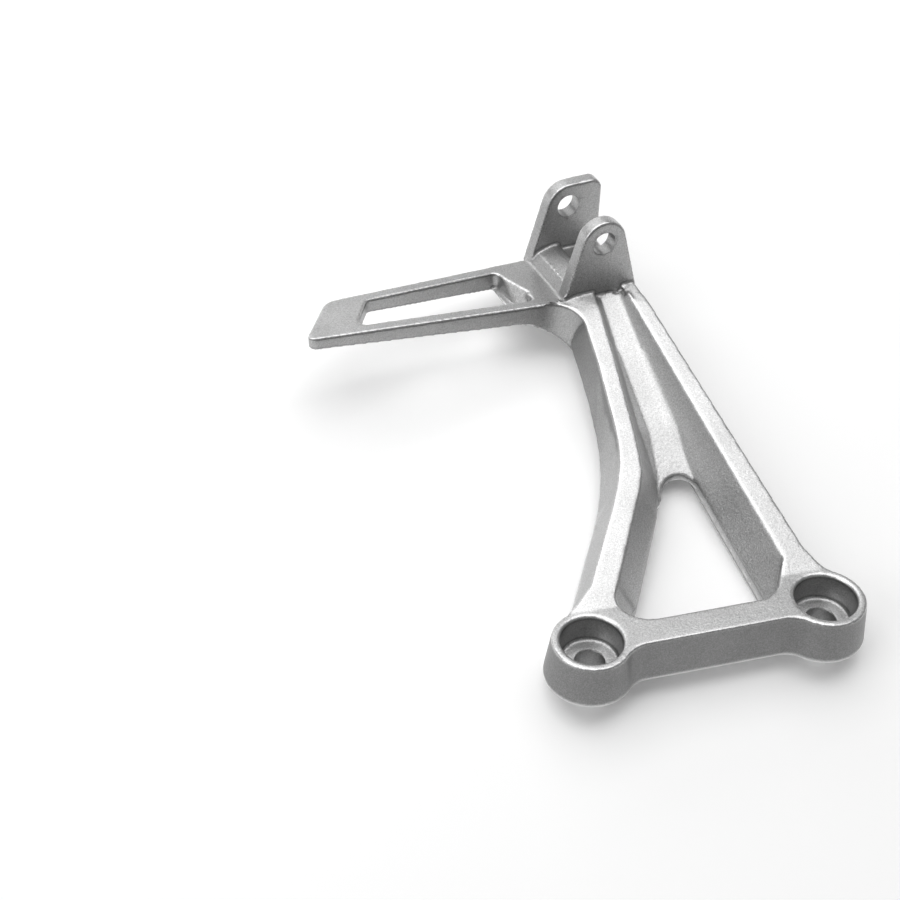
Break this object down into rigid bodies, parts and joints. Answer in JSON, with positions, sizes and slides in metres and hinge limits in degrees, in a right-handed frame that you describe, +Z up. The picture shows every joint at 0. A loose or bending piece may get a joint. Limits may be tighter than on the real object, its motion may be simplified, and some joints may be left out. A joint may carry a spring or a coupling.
{
  "type": "motorcycle footrest hanger",
  "caption": "Cast aluminium footrest hanger: bolt bosses on a front bar, climbing rails round a triangular window, an open clevis for the footrest and a slotted side arm.",
  "frame": {"origin": "centre of the bounding box on the table that the hanger lies on", "axes": "+Z up from the table, +Y from the bolt bosses towards the clevis, +X from the arm's side to the other side"},
  "size_m": [0.1512, 0.181, 0.0462],
  "materials": {
    "cast_aluminium": "bare die casting, bead blasted to an even satin grain, edges rubbed brighter"
  },
  "bodies": {
    "root": {"hanger": "cast_aluminium"}
  },
  "joints": []
}
